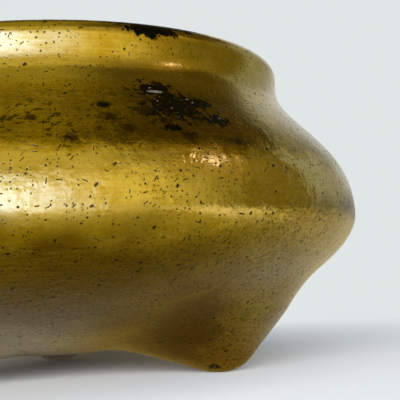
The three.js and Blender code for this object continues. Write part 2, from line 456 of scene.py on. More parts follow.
# What is left of the lip's swell at a height: it fades out softly below the lip
def lipSwell(height):
    t = min(max((lipHeight - height) / bowl["swellFade"], 0.0), 1.0)
    return (bowl["lipRadius"] - bowl["neckRadius"]) * (1 - t * t * (3 - 2 * t))


def outsidePoints():
    steps = bowl["shoulderSteps"]
    shoulder = [bezier(shoulderCurve, i / steps) for i in range(steps + 1)]
    upper = lipPoints() + [(x + lipSwell(y), y) for x, y in shoulder]
    lower = [bezier(underCurve, i / bowl["underSteps"]) for i in range(1, bowl["underSteps"] + 1)]
    return upper, lower


def insidePoints():
    mouth = bowl["neckRadius"] - bowl["neckWall"]
    steps = bowl["lipSteps"] // 3
    points = []
    for i in range(1, steps + 1):
        t = i / steps * math.pi / 2
        points.append((
            mouth + (bowl["crownRadius"] - mouth) * math.cos(t),
            bowl["totalHeight"] - bowl["lipInnerDrop"] * math.sin(t)))
    for curve, last in ((shoulderCurve, 0), (underCurve, 1)):
        for i in range(bowl["insideSteps"] + last):
            t = i / bowl["insideSteps"]
            depth = bowl["wall"] if last else bowl["neckWall"] + (bowl["wall"] - bowl["neckWall"]) * t
            x, y = bezier(curve, t)
            dx, dy = bezierSlope(curve, t)
            points.append((max(x + dy * depth, 0.0), y - dx * depth))
    return points


def turnedObject(name, points, marks, around, tree):
    obj = profileObject(name, points, marks)
    addTree(obj, tree, {"Around": around, "Merge": bowl["merge"] * mm})
    return obj


def footPlaces():
    for i in range(len(footNodes)):
        angle = math.radians(feet["firstAngle"] + 360 / len(footNodes) * i)
        yield angle, Vector((math.cos(angle), math.sin(angle), 0)) * feet["circle"] * mm


def post(name, radius, low, high, around, matrix):
    mesh = bpy.data.meshes.new(name)
    form = bmesh.new()
    bmesh.ops.create_cone(
        form, cap_ends=True, segments=around, radius1=radius * mm, radius2=radius * mm,
        depth=(high - low) * mm, matrix=matrix @ Matrix.Translation((0, 0, (low + high) / 2 * mm)))
    form.to_mesh(mesh)
    form.free()
    return newObject(name, mesh)


def boolean(obj, operation, *others):
    for other in others:
        modifier = obj.modifiers.new(other.name, "BOOLEAN")
        modifier.operation = operation
        modifier.solver = "MANIFOLD"
        modifier.object = other


def tidyAway(*objects):
    for obj in objects:
        mesh = obj.data
        bpy.data.objects.remove(obj)
        bpy.data.meshes.remove(mesh)


turnedProfile = turnedProfileTree()
grownFeet = grownFeetTree(footDistanceTree(), softJoinTree())
upper, lower = outsidePoints()
inside = insidePoints()

body = turnedObject(
    "body", inside[::-1] + upper + lower,
    ["inside"] * len(inside) + [""] * len(upper) + ["skin"] * len(lower), bowl["around"], turnedProfile)
addTree(body, grownFeet, {
    "Steps": feet["marchSteps"], "Belly height": bowl["bellyHeight"] * mm,
    "First angle": math.radians(feet["firstAngle"]), "Circle": feet["circle"] * mm,
    "Tip radius": feet["tipRadius"] * mm, "Length": feet["length"] * mm, "Lean": math.radians(feet["lean"]),
    "Half angle": math.radians(feet["halfAngle"]), "Blend": feet["blend"] * mm, "Wear": feet["wear"] * mm})
settle(body)
print("body turned:", len(body.data.vertices), "points,", len(body.data.polygons), "faces")


# Seats of the feet: upright posts under the bowl's own plain curve, and tenons square to its wall
plainBody = turnedObject(
    "plainBody", [(0.0, bowl["totalHeight"])] + upper + lower,
    [""] * (len(upper) + len(lower) + 1), bowl["around"], turnedProfile)
settle(plainBody)

share = underShare(feet["circle"])
seatHeight = bezier(underCurve, share)[1]
slope = bezierSlope(underCurve, share)
tilt = math.atan2(-slope[1], -slope[0])
headSeat = bowl["wall"] + feet["seatGap"] + tenon["headRadius"] ** 2 / (2 * feet["circle"])
headTop = headSeat + tenon["headEdge"]


def tenonFrame(angle, place):
    inwards = Vector((-math.sin(tilt) * math.cos(angle), -math.sin(tilt) * math.sin(angle), math.cos(tilt)))
    turn = Vector((0, 0, 1)).rotation_difference(inwards).to_matrix().to_4x4()
    return Matrix.Translation(place + Vector((0, 0, seatHeight * mm))) @ turn


# Beats shallow hollows into a tenon's head: each cell of a cell noise is one blow
def hammeredTree():
    tree, given, result = newTree(
        "hammered", "GeometryNodeTree",
        [("Geometry", shape), ("Depth", number), ("Blow size", number), ("Seed", number), ("Above", number),
         ("Material", finish)],
        [("Geometry", shape)])
    position = positionIn(tree)
    scale = calc(tree, "DIVIDE", 1.0, given["Blow size"])
    cells = addNode(
        tree, "ShaderNodeTexVoronoi", {"Vector": position, "Scale": scale, "W": given["Seed"]},
        voronoi_dimensions="4D", feature="SMOOTH_F1")
    near = minus(tree, 1.0, calc(tree, "MINIMUM", cells.outputs["Distance"], 1.0))
    above = calc(tree, "GREATER_THAN", splitXyz(tree, position)["Z"], given["Above"])
    depth = times(tree, near, above, given["Depth"], -1.0)
    offset = vectorCalc(tree, "SCALE", valueOf(tree, "GeometryNodeInputNormal"), depth)
    beaten = valueOf(tree, "GeometryNodeSetPosition", {"Geometry": given["Geometry"], "Offset": offset})
    finishShape(tree, beaten, given, result)
    return tree


def headObject(name, seed):
    points = [(0.0, -tenon["root"]), (tenon["radius"], -tenon["root"]), (tenon["radius"], headSeat)]
    edgeRound = tenon["headEdge"] / 2
    for i in range(tenon["edgeSteps"] + 1):
        t = i / tenon["edgeSteps"] * math.pi
        points.append((
            tenon["headRadius"] - edgeRound * (1 - math.sin(t)), headSeat + edgeRound * (1 - math.cos(t))))
    for i in range(1, tenon["domeSteps"] + 1):
        t = i / tenon["domeSteps"] * math.pi / 2
        points.append((
            (tenon["headRadius"] - edgeRound) * math.cos(t),
            headTop + (tenon["headHeight"] - tenon["headEdge"]) * math.sin(t)))
    points[-1] = (0.0, points[-1][1])
    obj = turnedObject(name, points[::-1], [""] * len(points), tenon["around"], turnedProfile)
    addTree(obj, hammered, {
        "Depth": tenon["dent"] * mm, "Blow size": tenon["dentSize"] * mm, "Seed": seed,
        "Above": headTop * mm})
    return settle(obj)


hammered = hammeredTree()
beyond = feet["beyond"]
gapUp = feet["seatGap"] / math.cos(tilt)
footPieces, cutters, holes = [], [], []
lowered = newObject("lowered", plainBody.data.copy())
lowered.data.transform(Matrix.Translation((0, 0, -gapUp * mm)))
for i, (angle, place) in enumerate(footPlaces()):
    upright, square = Matrix.Translation(place), tenonFrame(angle, place)
    socket = post(
        f"socket{i}", feet["socketRadius"], -beyond, bowl["bellyHeight"] + beyond, feet["socketAround"],
        upright)
    foot = newObject("footPiece" + footNodes[i][4:].title().replace("_", ""), body.data.copy())
    boolean(foot, "INTERSECT", socket)
    boolean(foot, "DIFFERENCE", lowered)
    shank = headObject(f"shank{i}", tenon["seed"] + i)
    shank.data.transform(square)
    boolean(foot, "UNION", shank)
    settle(foot)
    cutter = newObject(f"cutter{i}", socket.data.copy())
    boolean(cutter, "DIFFERENCE", plainBody)
    cutters.append(settle(cutter))
    holes.append(post(
        f"hole{i}", tenon["radius"] + feet["seatGap"], -beyond, bowl["wall"] + beyond, tenon["holeAround"],
        square))
    footPieces.append(foot)
    tidyAway(socket, shank)


def roundedBlock(name, side, corner, low, high, steps):
    half = side / 2 - corner
    outline = []
    for k, (sx, sy) in enumerate(((1, -1), (1, 1), (-1, 1), (-1, -1))):
        for i in range(steps + 1):
            a = math.radians(-90 + 90 * k + 90 * i / steps)
            outline.append((sx * half + corner * math.cos(a), sy * half + corner * math.sin(a)))
    form = bmesh.new()
    face = form.faces.new([form.verts.new((x * mm, y * mm, low * mm)) for x, y in outline])
    top = bmesh.ops.extrude_face_region(form, geom=[face])["geom"]
    bmesh.ops.translate(
        form, vec=(0, 0, (high - low) * mm), verts=[v for v in top if isinstance(v, bmesh.types.BMVert)])
    bmesh.ops.recalc_face_normals(form, faces=form.faces)
    mesh = bpy.data.meshes.new(name)
    form.to_mesh(mesh)
    form.free()
    return newObject(name, mesh)


panelFace = bowl["floorHeight"] + panel["recess"]
recess = roundedBlock(
    "recess", panel["side"] + 2 * feet["seatGap"], panel["corner"] + feet["seatGap"], 0,
    panelFace + panel["thickness"] + feet["seatGap"], panel["cornerSteps"])
basePanel = roundedBlock(
    "basePanel", panel["side"], panel["corner"], panelFace, panelFace + panel["thickness"],
    panel["cornerSteps"])
bevel = basePanel.modifiers.new("edges", "BEVEL")
bevel.width = panel["bevel"] * mm
bevel.segments = panel["bevelSteps"]
settle(basePanel)

bowlPiece = newObject("bowlPiece", body.data.copy())
boolean(bowlPiece, "DIFFERENCE", *cutters, *holes, recess)
settle(bowlPiece)
tidyAway(*cutters, *holes, recess, lowered, plainBody)
print("bowl, feet and panel cut:", [len(o.data.polygons) for o in (bowlPiece, *footPieces, basePanel)])


# Gives a cut piece the uncut body's smooth normals wherever it still has the body's surface, so that
# no seam shades, and marks the hollow's surface
def carryNormals(piece, source):
    mesh, base = piece.data, source.data
    tree = BVHTree.FromPolygons([v.co for v in base.vertices], [f.vertices[:] for f in base.polygons])
    hollow = base.attributes["inside"].data
    carried = {}
    marks = [0.0] * len(mesh.vertices)
    for v in mesh.vertices:
        hit, _, index, distance = tree.find_nearest(v.co)
        corners = base.polygons[index].vertices
        weights = poly_3d_calc([base.vertices[k].co for k in corners], hit)
        marks[v.index] = sum(hollow[k].value * w for k, w in zip(corners, weights))
        if distance < shading["nearBody"] * mm:
            normal = sum((base.vertices[k].normal * w for k, w in zip(corners, weights)), Vector())
            carried[v.index] = normal.normalized()
    for mark in profileMarks + ("plainReach",):
        if mark in mesh.attributes:
            mesh.attributes.remove(mesh.attributes[mark])
    mesh.attributes.new("hollow", "FLOAT", "POINT").data.foreach_set("value", marks)
    mesh.polygons.foreach_set("use_smooth", [True] * len(mesh.polygons))
    mesh.set_sharp_from_angle(angle=math.radians(shading["sharp"]))
    normals = [n.vector.copy() for n in mesh.corner_normals]
    for face in mesh.polygons:
        known = [carried.get(k) for k in face.vertices]
        if None not in known and all(n.dot(face.normal) > shading["facingAlike"] for n in known):
            for corner, normal in zip(face.loop_indices, known):
                normals[corner] = normal
    mesh.normals_split_custom_set(normals)


for piece in (bowlPiece, *footPieces):
    carryNormals(piece, body)
basePanel.data.polygons.foreach_set("use_smooth", [True] * len(basePanel.data.polygons))
basePanel.data.set_sharp_from_angle(angle=math.radians(shading["panelSharp"]))
tidyAway(body)
print("normals carried over")


# Helpers for finishes; their places are object coordinates in millimetres
def smoothStep(tree, value, low, high, start=0.0, end=1.0):
    return addNode(tree, "ShaderNodeMapRange", {
        "Value": value, "From Min": low, "From Max": high, "To Min": start, "To Max": end,
    }, interpolation_type="SMOOTHSTEP").outputs["Result"]


def mixColor(tree, factor, under, over):
    node = addNode(tree, "ShaderNodeMix", data_type="RGBA")
    for value, socket in zip((factor, under, over), (node.inputs[0], node.inputs[6], node.inputs[7])):
        feed(tree, value, socket)
    return node.outputs[2]


def noise(tree, place, size, detail=4.0, roughness=0.55):
    scale = calc(tree, "DIVIDE", 1.0, size) if isinstance(size, bpy.types.NodeSocket) else 1.0 / size
    return addNode(tree, "ShaderNodeTexNoise", {
        "Vector": place, "Scale": scale, "Detail": detail, "Roughness": roughness}).outputs["Fac"]


def scaled(tree, value, factor, middle=0.0):
    return times(tree, minus(tree, value, middle) if middle else value, factor)


# Clouds of patina, fine lines from polishing round the bowl, and small mottling
def bronzeGrainTree():
    tree, given, result = newTree(
        "bronzeGrain", "ShaderNodeTree",
        [("Place", vector), ("Cloud size", number, 7.0), ("Line length", number, 6.0),
         ("Line width", number, 0.35), ("Mottle size", number, 1.0)],
        [("Cloud", number), ("Lines", number), ("Mottle", number)])
    along = calc(tree, "DIVIDE", 1.0, given["Line length"])
    across = calc(tree, "DIVIDE", 1.0, given["Line width"])
    drawn = vectorCalc(tree, "MULTIPLY", given["Place"], joinXyz(tree, along, along, across))
    feed(tree, noise(tree, given["Place"], given["Cloud size"], 5.0, 0.6), result["Cloud"])
    feed(tree, noise(tree, drawn, 1.0, 3.0, 0.55), result["Lines"])
    feed(tree, noise(tree, given["Place"], given["Mottle size"], 3.0, 0.55), result["Mottle"])
    return tree


# Small marks scattered over the surface, one to a cell: round pits, or short strokes where a length is given
def marksTree():
    tree, given, result = newTree(
        "marks", "ShaderNodeTree",
        [("Place", vector), ("Shift", vector), ("Normal", vector), ("Spacing", number, 1.5),
         ("Share", number, 0.5), ("Radius", number, 0.15), ("Half length", number, 0.0),
         ("Angle", number, 0.6), ("Angle spread", number, 1.0), ("Unevenness", number, 0.55)],
        [("Mark", number), ("Chance", number)])
    smoothPlace = vectorCalc(tree, "ADD", given["Place"], given["Shift"])
    fineness = calc(tree, "DIVIDE", 0.45, given["Radius"])
    wobble = addNode(tree, "ShaderNodeTexNoise", {
        "Vector": smoothPlace, "Scale": fineness, "Detail": 2.0}).outputs["Color"]
    sway = times(tree, given["Radius"], 4.0, given["Unevenness"])
    swayed = vectorCalc(tree, "SCALE", vectorCalc(tree, "SUBTRACT", wobble, (0.5, 0.5, 0.5)), sway)
    place = vectorCalc(tree, "ADD", smoothPlace, swayed)
    cells = addNode(tree, "ShaderNodeTexVoronoi", {
        "Vector": place, "Scale": calc(tree, "DIVIDE", 1.0, given["Spacing"])})
    fromCell = vectorCalc(tree, "SUBTRACT", place, cells.outputs["Position"])
    off = vectorCalc(tree, "DOT_PRODUCT", fromCell, given["Normal"])
    onSkin = vectorCalc(tree, "SUBTRACT", fromCell, vectorCalc(tree, "SCALE", given["Normal"], off))
    chance = splitXyz(tree, cells.outputs["Color"])
    level = vectorCalc(tree, "NORMALIZE", vectorCalc(tree, "CROSS_PRODUCT", (0, 0, 1), given["Normal"]))
    rise = vectorCalc(tree, "CROSS_PRODUCT", given["Normal"], level)
    turn = calc(tree, "MULTIPLY_ADD", minus(tree, chance["Y"], 0.5), given["Angle spread"], given["Angle"])
    stroke = vectorCalc(
        tree, "ADD", vectorCalc(tree, "SCALE", level, calc(tree, "COSINE", turn)),
        vectorCalc(tree, "SCALE", rise, calc(tree, "SINE", turn)))
    half = times(tree, given["Half length"], chance["Z"])
    along = vectorCalc(tree, "DOT_PRODUCT", onSkin, stroke)
    held = highest(tree, calc(tree, "MINIMUM", along, half), times(tree, half, -1.0))
    away = vectorCalc(tree, "DISTANCE", onSkin, vectorCalc(tree, "SCALE", stroke, held))
    size = times(tree, given["Radius"], calc(tree, "MULTIPLY_ADD", chance["Z"], 0.9, 0.5))
    near = calc(tree, "DIVIDE", away, size)
    there = calc(tree, "LESS_THAN", chance["X"], given["Share"])
    feed(tree, times(tree, smoothStep(tree, near, 0.4, 1.4, 1.0, 0.0), there), result["Mark"])
    feed(tree, chance["Y"], result["Chance"])
    return tree


# A patch with a frayed edge: an ellipsoid about its middle, eaten into by noise
def patchTree():
    tree, given, result = newTree(
        "patch", "ShaderNodeTree",
        [("Place", vector), ("Middle", vector), ("Reach", vector, (5, 5, 5)), ("Fray", number, 1.0),
         ("Fray size", number, 1.5), ("Edge", number, 0.15), ("Fineness", number, 0.6)],
        [("Patch", number)])
    fromMiddle = vectorCalc(tree, "SUBTRACT", given["Place"], given["Middle"])
    away = vectorCalc(tree, "LENGTH", vectorCalc(tree, "DIVIDE", fromMiddle, given["Reach"]))
    eaten = scaled(tree, noise(tree, given["Place"], given["Fray size"], 6.0, given["Fineness"]), 2.0, 0.5)
    frayed = calc(tree, "MULTIPLY_ADD", eaten, given["Fray"], away)
    low = minus(tree, 1.0, given["Edge"])
    high = plus(tree, 1.0, given["Edge"])
    feed(tree, smoothStep(tree, frayed, low, high, 1.0, 0.0), result["Patch"])
    return tree


# Colour of the bronze from bare polish through gold and olive to dark patina
def patinaTree():
    tree, given, result = newTree(
        "patina", "ShaderNodeTree",
        [("Patina", number), ("Polished", tint), ("Gold", tint), ("Olive", tint), ("Brown", tint)],
        [("Color", tint)])
    color = given["Polished"]
    for tone, low, high in (("Gold", 0.0, 0.35), ("Olive", 0.3, 0.7), ("Brown", 0.65, 1.0)):
        color = mixColor(tree, smoothStep(tree, given["Patina"], low, high), color, given[tone])
    feed(tree, color, result["Color"])
    return tree


bronzeGrain, marks, patch, patina = bronzeGrainTree(), marksTree(), patchTree(), patinaTree()

bronzeTones = {
    "polished": (0.85, 0.68, 0.23, 1),
    "gold": (0.67, 0.475, 0.060, 1),
    "olive": (0.40, 0.28, 0.012, 1),
    "brown": (0.130, 0.074, 0.0008, 1),
    "khaki": (0.27, 0.190, 0.016, 1),
    "pit": (0.045, 0.025, 0.003, 1),
    "crust": (0.005, 0.004, 0.003, 1),
    "speck": (0.62, 0.60, 0.52, 1),
    "maroon": (0.05, 0.020, 0.004, 1),
    "soot": (0.060, 0.045, 0.028, 1),
    "ash": (0.50, 0.465, 0.405, 1),
}

# Places of the dark patches: middle, reach, share of fray and the fray's size, lengths in millimetres
bowlPatches = {
    "rimStain": ((17.4, -46.3, 64.0), (5.2, 4.0, 2.2), 0.9, 1.7),
    "rimStainLong": ((19.0, -45.4, 65.4), (15.0, 9.0, 1.9), 0.6, 1.8),
    "clusterCore": ((20.8, -52.4, 48.5), (3.5, 3.4, 2.0), 2.0, 1.2),
    "clusterLeft": ((16.6, -50.8, 51.2), (3.2, 3.2, 1.5), 2.0, 1.1),
    "clusterTail": ((24.2, -50.2, 48.8), (2.6, 3.0, 0.8), 1.4, 1.1),
    "trail": ((27.2, -52.6, 45.4), (2.0, 2.2, 1.2), 1.7, 0.9),
    "scattered": ((19.4, -54.2, 47.0), (3.6, 3.0, 2.1), 4.2, 0.95),
    "below": ((18.7, -57.9, 43.4), (1.5, 1.5, 0.6), 1.5, 0.7),
    "spotLeft": ((7.8, -56.5, 47.6), (0.8, 0.8, 0.6), 1.3, 0.6),
}
# A small dark spot at a foot's tip, where it meets the floor
footPatches = {"tipDarkSpot": ((29.3, -22.7, 1.1), (1.5, 1.2, 0.7), 1.2, 0.7)}

# Reddish brown blots round them
bowlBlots = (
    ((23.8, -54.1, 45.4), (1.4, 1.4, 0.8), 1.3, 0.8),
    ((21.6, -58.0, 41.9), (1.7, 1.6, 0.9), 1.8, 0.8),
    ((30.2, -54.4, 41.4), (1.9, 1.9, 0.7), 1.8, 0.8),
    ((11.5, -60.0, 43.0), (1.2, 1.2, 0.9), 1.6, 0.7),
    ((14.6, -56.2, 46.7), (2.2, 2.0, 1.2), 2.6, 0.8),
    ((7.8, -56.5, 47.6), (1.3, 1.3, 1.1), 1.5, 0.8),
    ((8.7, -58.6, 45.2), (1.5, 1.5, 1.0), 2.4, 0.8),
    ((2.4, -62.1, 41.4), (1.2, 1.2, 0.8), 1.5, 0.8),
    ((-3.7, -59.2, 45.2), (1.0, 1.0, 0.6), 1.5, 0.8),
)
paleStreaks = (((16.8, -50.9, 50.8), (1.4, 1.6, 0.28), 0.6, 0.8),)

# Where brown freckles lie, and the bigger brown clouds low round the bowl and on a foot's front, partly
# patina and partly painted shade under the belly: middle, reach, fray and its size
freckledPlaces = (
    ((19.0, -54.5, 46.5), (12.0, 9.0, 6.5), 0.9, 5.0),
    ((-2.0, -59.5, 44.5), (16.0, 8.0, 4.0), 0.9, 5.0),
    ((-46.0, 30.0, 46.0), (14.0, 14.0, 6.0), 0.9, 5.0),
    ((30.0, 48.0, 45.0), (14.0, 10.0, 5.0), 0.9, 5.0),
)
lowBrownPatinaAndShade = (
    ((-8.0, -58.0, 18.4), (36.0, 34.0, 10.4), 0.5, 9.0),
    ((-50.0, 22.0, 19.0), (20.0, 26.0, 7.5), 0.9, 9.0),
    ((30.0, 50.0, 19.0), (26.0, 18.0, 7.5), 0.9, 9.0),
    ((22.0, -35.0, 8.0), (9.5, 16.0, 9.0), 0.8, 6.0),
)

# Sizes of the noises in millimetres, with their detail and roughness
noises = {
    "coarse": (0.62, 2.0),
    "dents": (1.7, 2.0),
    "dentPlaces": (7.0, 1.0),
    "waves": (3.0, 2.0),
    "pitPlaces": (6.0, 2.0),
    "smudges": (1.0, 4.0, 0.65),
    "rust": (0.8, 3.0),
    "stains": (5.0, 5.0),
    "grit": (0.6, 4.0),
}

# Soft steps: where they begin and end, in millimetres if they follow a height, and the strength at either end
ramps = {
    "shoulderFrom": (38.4, 42.2),
    "shoulderTo": (50.0, 54.0, 1.0, 0.0),
    "tide": (-3.0, 2.5, 1.0, 0.0),
    "lipFrom": (53.0, 57.0),
    "lipRight": (-6.0, 14.0),  # painted shade: the lip is a little darker towards the viewer's right, away from the window
    "calm": (50.0, 54.0, 1.0, 0.5),
    "khaki": (0.0, 0.5, 0.85, 1.0),
    "brownLines": (0.3, 0.7, 1.0, 0.86),
    "dimples": (0.50, 0.72, 0.0, 0.55),
    "dentPlaces": (0.42, 0.6, 0.02, 0.12),
    "dentsTo": (43.0, 48.0, 1.0, 0.15),
    "waves": (43.0, 48.0, 0.10, 0.035),
    "pitPlaces": (0.38, 0.64, 0.12, 0.85),
    "pitDepths": (0.0, 1.0, 0.45, 1.0),
    "scratchesFrom": (19.0, 25.0, 0.04, 1.0),
    "scratchesTo": (39.0, 44.0, 1.0, 0.3),
    "smudges": (0.545, 0.61),
    "crest": (64.15, 64.5, 0.0, 0.75),
    "rust": (0.52, 0.72, 0.0, 0.75),
    "crustColor": (0.0, 0.5),
    "crustMetal": (0.5, 1.0, 1.0, 0.92),
    "specksTo": (52.0, 55.0, 0.85, 0.0),
    "hollow": (0.3, 0.9),
    "sootTo": (59.5, 64.0, 1.0, 0.0),
    "stains": (0.42, 0.66, 0.0, 0.75),
    "ashTo": (9.0, 20.0, 0.92, 0.0),
    "grit": (0.35, 0.65, 0.65, 1.0),
    "without": (0.0, 1.0, 1.0, 0.0),
    "sootMetal": (0.0, 1.0, 1.0, 0.45),
}

skinLook = {
    "film": 0.6,  # weight of the thin wax film that veils the metal seen at a slant
    "drift": 7.0,  # how far the clouds carry the edges of shoulder and tide up and down
    "tideHeight": 22.6,  # the dull khaki lower part, partly painted shade under the belly, ends along a tilted line
    "tideRise": 0.2,
    "scratches": 0.34,
    "smudgeShape": (0.62, 0.62, 1.0),
    "crestWaver": 0.8,
    "sootDrift": 5.0,
    "ashDrift": 16.0,
    "coatRough": 0.22,
    "coatIor": 1.2,
}

# What each effect adds to the patina, and how much of the metal a finish hides where it is full
tarnishShares = {
    "bare": 0.09, "shoulder": 0.46, "below": 0.12, "lip": 0.17, "cloud": 0.80, "lines": 0.50, "mottle": 0.50,
    "coarse": 0.33,
}
covers = {"khaki": 0.96, "pit": 0.95, "maroon": 0.88, "loneSpeck": 0.30, "streak": 0.7}
roughness = {
    "polished": 0.17, "dull": 0.36, "mottle": 0.20, "lines": 0.10, "pit": 0.5, "maroon": 0.42, "crust": 0.38,
    "soot": 0.58, "ash": 0.92,
}

# Heights of the small relief; a pair is for the bare metal and for the part below the tide line
relief = {
    "mottle": (0.024, 0.090), "lines": 0.010, "coarse": (0.010, -0.13), "pit": 0.03, "rust": 0.10,
    "grit": 0.08,
}

# The small marks; their shifts keep the kinds from falling on the same places
markLooks = {
    "pits": {"Spacing": 1.0, "Radius": 0.165},
    "bigPits": {
        "Shift": (31.7, 12.3, 5.9), "Spacing": 3.3, "Share": 0.45, "Radius": 0.20, "Half length": 0.15},
    "scratches": {
        "Shift": (7.1, 3.3, 19.2), "Spacing": 1.8, "Radius": 0.07, "Half length": 0.5, "Angle": 0.6,
        "Angle spread": 2.2},
    "specks": {
        "Shift": (3.0, 1.0, 2.0), "Spacing": 1.05, "Share": 0.13, "Radius": 0.10, "Half length": 0.25,
        "Angle": 0.1, "Angle spread": 0.9},
    "panelPits": {"Spacing": 1.6, "Share": 0.4, "Radius": 0.2},
}

# Softness of the patches' edges, and for the clouds the fineness of the fray too
patchEdges = {
    "crust": (0.28,), "blots": (0.45,), "streaks": (0.3,), "freckles": (0.5,), "clouds": (0.5, 0.35),
}


def newMaterial(name):
    material = bpy.data.materials.new(name)
    material.use_nodes = True
    tree = material.node_tree
    shader = tree.nodes["Principled BSDF"]
    where = addNode(tree, "ShaderNodeTexCoord").outputs
    place = vectorCalc(tree, "SCALE", where["Object"], 1.0 / mm)
    return material, tree, shader, place, where["Normal"]


def ramp(tree, value, name):
    return smoothStep(tree, value, *ramps[name])


def patchesAt(tree, place, places, kind):
    look = dict(zip(("Edge", "Fineness"), patchEdges[kind]))
    cover = 0.0
    for middle, reach, fray, fraySize in places:
        one = useTree(tree, patch, {
            "Place": place, "Middle": middle, "Reach": reach, "Fray": fray, "Fray size": fraySize, **look})
        cover = highest(tree, cover, one["Patch"])
    return cover


def marksAt(tree, place, facing, kind, **given):
    return useTree(tree, marks, {"Place": place, "Normal": facing, **markLooks[kind], **given})


def patinaColor(tree, tarnish):
    tones = {label: bronzeTones[label.lower()] for label in ("Polished", "Gold", "Olive", "Brown")}
    return useTree(tree, patina, {"Patina": tarnish, **tones})["Color"]


